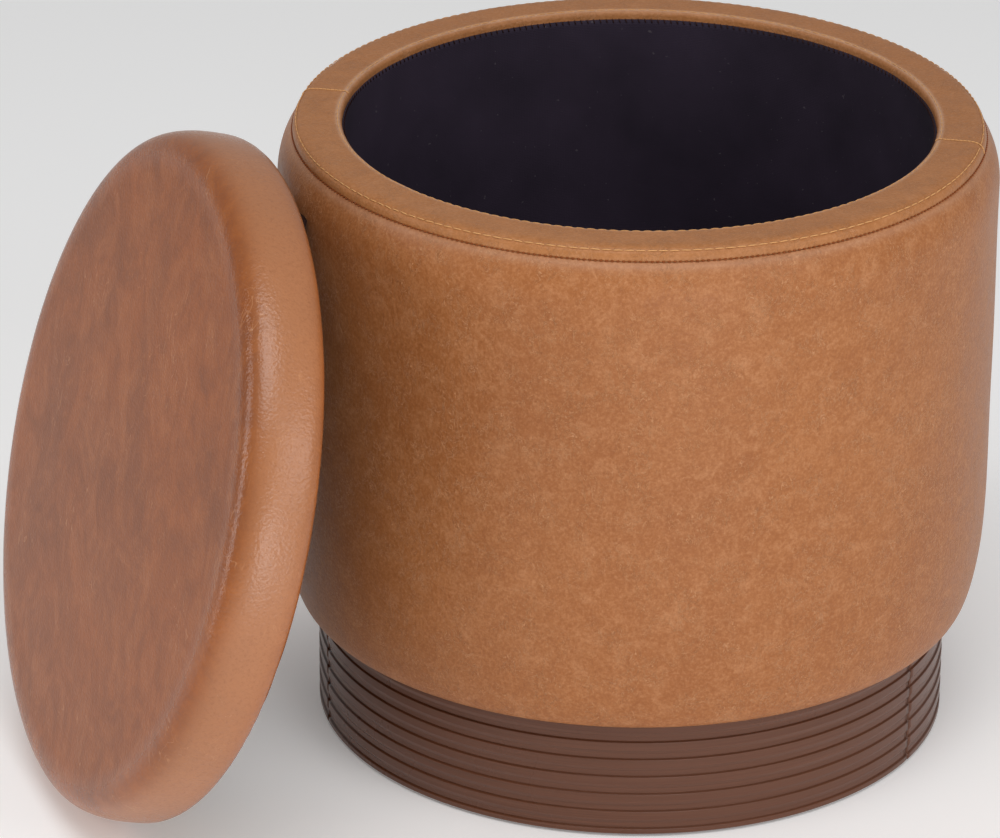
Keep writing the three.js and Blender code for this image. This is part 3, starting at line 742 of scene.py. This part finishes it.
places = np.column_stack([overlock_radius * np.cos(turn), overlock_radius * np.sin(turn),
                          np.full(OVERLOCK_COUNT, wall_high.z - 0.6 * MM)]) + axis
up = np.column_stack([-np.cos(turn), -np.sin(turn), np.zeros(OVERLOCK_COUNT)])
along = np.column_stack([-0.35 * np.sin(turn), 0.35 * np.cos(turn), np.ones(OVERLOCK_COUNT)])
overlock = stitches("lining_overlock", places, along, up, 3 * MM, 0.7 * MM, 0.2 * MM)
dress(overlock, black_thread, "drum", "lining")


# ---------------------------------------------------------------------------------------------------
# Lid. Foam on a round board under one piece of browner leather, pulled over the edge and stapled in
# underneath a cloth, where two crossed rails are screwed on. It leans on the drum, on its edge.

LID_LEAN = math.radians(74.2)
LID_BOARD_MIDDLE = 7.5 * MM
LID_RADIUS, LID_HEIGHT, LID_SIDE_TOP = 203 * MM, 46 * MM, 18 * MM
LID_EDGE_WIDTH, LID_EDGE_HEIGHT = 6 * MM, 10 * MM
LID_CORNER = 19 * MM
LID_CROWN = 3.5 * MM
LID_EASE = 2.2 * MM  # how far the padding swells past its outline at the top, and half of it at the floor
LID_TURNED_IN = 161.0 * MM

board_low, board_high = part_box("lid_board")
lid_up = Vector((-math.sin(LID_LEAN), 0, math.cos(LID_LEAN)))
lid_origin = (board_low + board_high) / 2 - lid_up * LID_BOARD_MIDDLE


def leaned(points):
    """Points of the lid lying flat at the origin, turned up about Y by its lean and put in its place."""
    cosine, sine = math.cos(LID_LEAN), math.sin(LID_LEAN)
    turn = np.array([[cosine, 0, -sine], [0, 1, 0], [sine, 0, cosine]])
    return points @ turn.T + np.array(lid_origin)


crown_radius = LID_RADIUS - LID_CORNER
across = np.linspace(crown_radius, 0, 60)
crown = np.column_stack([across, LID_HEIGHT + LID_CROWN * (1 - (across / crown_radius) ** 2)])
lid_outline = joined(
    line((LID_TURNED_IN, 0), (LID_RADIUS - LID_EDGE_WIDTH, 0), 3 * MM),
    ellipse((LID_RADIUS - LID_EDGE_WIDTH, LID_EDGE_HEIGHT), LID_EDGE_WIDTH, LID_EDGE_HEIGHT, -90, 0,
            1.5 * MM),
    line((LID_RADIUS, LID_EDGE_HEIGHT), (LID_RADIUS, LID_SIDE_TOP), 2.5 * MM),
    bezier((LID_RADIUS, LID_SIDE_TOP), (LID_RADIUS - 0.5 * MM, LID_HEIGHT - 7 * MM),
           (LID_RADIUS - 6 * MM, LID_HEIGHT), (crown_radius, LID_HEIGHT), 34),
    crown)
lid_along = lengths(lid_outline)


def disc_grid(count):
    """A square grid drawn onto a disc: x = u root(1 - v v / 2) and y = v root(1 - u u / 2), for u and v
    from -1 to 1. It has no pole in its middle. Gives the distance from the middle and the angle."""
    u, v = np.meshgrid(np.linspace(-1, 1, count), np.linspace(-1, 1, count), indexing="ij")
    x, y = u * np.sqrt(1 - v**2 / 2), v * np.sqrt(1 - u**2 / 2)
    return np.hypot(x, y), np.arctan2(y, x)


def lid_skin(count):
    """The lid's whole surface on a disc grid: the distance from the middle is the way along its outline."""
    reach, turn = disc_grid(count)
    along = lid_along[-1] * (1 - reach)
    radius, height = (np.interp(along, lid_along, lid_outline[:, i]) for i in (0, 1))
    flat = np.stack([reach * np.cos(turn), reach * np.sin(turn)], -1) * lid_along[-1]
    radius = radius + LID_EASE * (0.75 + 0.25 * np.cos(turn)) * reach
    return np.stack([radius * np.cos(turn), radius * np.sin(turn), height], -1), flat


STREAKS_SPIN = math.radians(37)
lid_brown, tree, surface = material("lid_leather", (0.34, 0.116, 0.035), 0.35, Specular_IOR_Level=0.5)
cloud = noise(tree, object_space(tree, (0.7, 1, 1), LID_LEAN, STREAKS_SPIN), 10, 4, 0.6, 0.8)
patch = noise(tree, object_space(tree, (0.75, 1, 1), LID_LEAN, STREAKS_SPIN), 26, 8, 0.72, 1.6)
mottle = noise(tree, object_space(tree), 150, 6, 0.75, 0.8)
streak = noise(tree, object_space(tree, (55, 300, 300), LID_LEAN, STREAKS_SPIN), 1.0, 4, 0.65, 1.0)
streaked = between(tree, noise(tree, object_space(tree), 12, 3, 0.6), 0.47, 0.6)
vein = noise(tree, object_space(tree, (0.3, 1, 1), LID_LEAN, STREAKS_SPIN - 0.4), 90, 2, 0.5, 1.2)
ridge = between(tree, arithmetic(tree, "ABSOLUTE", arithmetic(tree, "SUBTRACT", vein, 0.5)), 0, 0.012, 1, 0)
seldom = between(tree, noise(tree, object_space(tree), 24, 3, 0.6), 0.54, 0.62)
fleck = noise(tree, object_space(tree), 480, 4, 0.75)
paler_share = node(tree, "Attribute", {}, attribute_name="wear_and_highlight").outputs["Fac"]
colour = mixed(tree, between(tree, cloud, 0.38, 0.62), (0.315, 0.076, 0.006), (0.24, 0.06, 0.008))
colour = mixed(tree, between(tree, patch, 0.5, 0.68, 0, 0.7), colour, (0.385, 0.112, 0.018))
colour = mixed(tree, between(tree, patch, 0.5, 0.32, 0, 0.6), colour, (0.18, 0.048, 0.011))
colour = mixed(tree, between(tree, mottle, 0.5, 0.72, 0, 0.4), colour, (0.22, 0.058, 0.013))
colour = mixed(tree, between(tree, mottle, 0.5, 0.28, 0, 0.35), colour, (0.44, 0.135, 0.027))
dark_streak = arithmetic(tree, "MULTIPLY", between(tree, streak, 0.52, 0.68, 0, 0.22), streaked)
colour = mixed(tree, dark_streak, colour, (0.17, 0.058, 0.024))
# The side band is mixed paler: partly wear where the leather is pulled over the edge, partly painted
# highlight.
colour = mixed(tree, arithmetic(tree, "MULTIPLY", paler_share, 0.8), colour, (0.47, 0.2, 0.09))
colour = mixed(tree, between(tree, fleck, 0.5, 0.75, 0, 0.45), colour, (0.26, 0.085, 0.028))
scratch = arithmetic(tree, "MULTIPLY", ridge, seldom)
colour = mixed(tree, arithmetic(tree, "MULTIPLY", scratch, 0.55), colour, (0.56, 0.26, 0.12))
polished = node(tree, "Attribute", {}, attribute_name="polished").outputs["Fac"]
gloss = between(tree, arithmetic(tree, "ADD", polished, patch), 0.4, 1.5, 0.46, 0.24)
finish_with(tree, surface, Base_Color=colour, Roughness=gloss,
            Normal=bump(tree, streak, 0.04 * MM, leather_grain(tree, object_space(tree))))

LID_GRID, LID_COARSE_GRID = 180, 56
points, flat = lid_skin(LID_GRID)
coarse, _ = lid_skin(LID_COARSE_GRID)
moved = settled(leaned(coarse), 0.8, 1.8 * MM)
steps, coarse_steps = np.linspace(-1, 1, LID_GRID), np.linspace(-1, 1, LID_COARSE_GRID)
moved = carried_over(moved, coarse_steps, coarse_steps, steps, steps)
reach, turn = disc_grid(LID_GRID)
along = lid_along[-1] * (1 - reach)
# The wear-and-highlight ring over the side band and shoulder: partly wear, partly painted highlight.
side_middle = LID_RADIUS - LID_TURNED_IN + LID_SIDE_TOP
wear_and_highlight = np.exp(-(((along - side_middle) / (20 * MM)) ** 4))
polished = np.clip((lid_along[-1] - along - crown_radius + 8 * MM) / (12 * MM), 0, 1)
lid = put_grid("lid_leather_cover", leaned(points) + moved, flat,
               marks={"wear_and_highlight": wear_and_highlight, "polished": polished})
thicken(lid, LEATHER)
dress(lid, lid_brown, "lid", "lid_leather", "lid_cover")

board_top = 13.5 * MM
skin = inside(lid_outline[lid_outline[:, 1] > board_top + 3 * MM], 2.6 * MM)
skin[-1] = (0, skin[-1, 1])
skin = skin[skin[:, 0] >= 0]
foam_outline = joined([(0, board_top + GAP)], [(skin[0, 0], board_top + GAP)], skin)
lid_foam = put_grid("lid_foam_pad", leaned(turned(foam_outline, WHOLE_TURN)))
dress(lid_foam, foam_cream, "lid", "foam", "lid_foam")

# The rails are near black: painted shade, so a rail's end that shows in the gap between lid and drum reads
# as that gap's shadow.
rail_brown, tree, surface = material("rail_dark_shade", (0.02, 0.007, 0.005), 0.7, Specular_IOR_Level=0.15)
rail_grain = noise(tree, object_space(tree, (1, 9, 1), LID_LEAN), 30, 5, 0.6, 0.6)
finish_with(tree, surface, Base_Color=mixed(tree, rail_grain, (0.012, 0.004, 0.003), (0.032, 0.012, 0.008)),
            Normal=bump(tree, rail_grain, 0.1 * MM))
paint(["lid_rail_1", "lid_rail_2"], rail_brown)

UNDER_RADIUS, UNDER_CLOTH = 160.4 * MM, 1.0 * MM
# The underlining's dark brown-black is painted shade, matched to the shadow in the gap between lid and
# drum.
under_brown, tree, surface = material("underlining", (0.02, 0.008, 0.006), 0.85, Specular_IOR_Level=0.15)
fibres = noise(tree, object_space(tree), 800, 4, 0.7, 1.5)
finish_with(tree, surface, Base_Color=mixed(tree, fibres, (0.012, 0.005, 0.004), (0.04, 0.016, 0.012)),
            Normal=bump(tree, fibres, 0.15 * MM))
disc = flat_disc(UNDER_RADIUS, 0.0, 20)[::-1]
underlining = put_grid("lid_underlining_cloth", leaned(turned(disc, WHOLE_TURN)),
                       laid_flat(disc, WHOLE_TURN, UNDER_RADIUS))
thicken(underlining, UNDER_CLOTH)
dress(underlining, under_brown, "lid", "lining", "lid_underlining")


# ---------------------------------------------------------------------------------------------------
# Studio. A wide white floor, an even white surround, and four soft lights: a large one overhead, one
# in front on the right, a strip on the left that edges the lid, and a low one in front of the lid.

FLOOR_SIZE = 14.0
side_steps = np.linspace(-FLOOR_SIZE / 2, FLOOR_SIZE / 2, 3)
x, y = np.meshgrid(side_steps, side_steps, indexing="ij")
floor = put_grid("studio_floor", np.stack([x, y, 0 * x], -1))
white, tree, surface = material("studio_white", (0.95, 0.95, 0.95), 0.9,
                                Emission_Color=(1, 1, 1, 1), Emission_Strength=0.15)
floor.data.materials.append(white)

scene = bpy.context.scene
scene.view_settings.view_transform = "Standard"
scene.world = bpy.data.worlds.new("studio_surround")
scene.world.use_nodes = True
surround = scene.world.node_tree.nodes["Background"].inputs
surround["Color"].default_value = (1, 1, 1, 1)
surround["Strength"].default_value = 0.37


def soft_light(name, place, towards, width, height, power):
    """A rectangular light that faces a point."""
    lamp = bpy.data.lights.new(name, "AREA")
    lamp.shape = "RECTANGLE"
    lamp.size, lamp.size_y = width, height
    lamp.energy = power
    made = bpy.data.objects.new(name, lamp)
    made.visible_camera = False
    bpy.context.scene.collection.objects.link(made)
    facing = (Vector(towards) - Vector(place)).to_track_quat("-Z", "Y")
    made.matrix_world = Matrix.Translation(place) @ facing.to_matrix().to_4x4()


soft_light("overhead_light", (-0.4, -1.1, 2.5), (0, 0, 0.3), 1.5, 1.5, 25.5)
soft_light("front_light", (1.3, -2.6, 1.5), (0.1, 0, 0.2), 1.3, 1.3, 15.5)
soft_light("strip_light", (-1.75, 0.2, 0.7), (-0.2, -0.1, 0.25), 0.24, 1.3, 6.0)
soft_light("low_light", (-0.08, -1.5, 0.27), (-0.2, -0.2, 0.2), 0.42, 0.5, 3.2)

CAMERA_AWAY, CAMERA_BEARING, CAMERA_HEIGHT = 3.1558, -111.3, 1.6203
CAMERA_HEADING, CAMERA_PITCH, CAMERA_ROLL = 70.18, 24.49, 0.3925
bearing, heading, pitch, roll = (math.radians(a) for a in (CAMERA_BEARING, CAMERA_HEADING, CAMERA_PITCH,
                                                           CAMERA_ROLL))
forward = Vector((math.cos(heading) * math.cos(pitch), math.sin(heading) * math.cos(pitch),
                  -math.sin(pitch)))
right = Vector((math.sin(heading), -math.cos(heading), 0))
up = right.cross(forward)
right, up = right * math.cos(roll) + up * math.sin(roll), up * math.cos(roll) - right * math.sin(roll)
camera = bpy.data.objects.new("camera", bpy.data.cameras.new("camera"))
scene.collection.objects.link(camera)
camera.data.lens = 205.1
camera.data.sensor_width = 36
turn = Matrix((right, up, -forward)).transposed().to_4x4()
stand = axis + Vector((CAMERA_AWAY * math.cos(bearing), CAMERA_AWAY * math.sin(bearing), CAMERA_HEIGHT))
camera.matrix_world = Matrix.Translation(stand) @ turn
scene.camera = camera

bpy.context.view_layer.update()
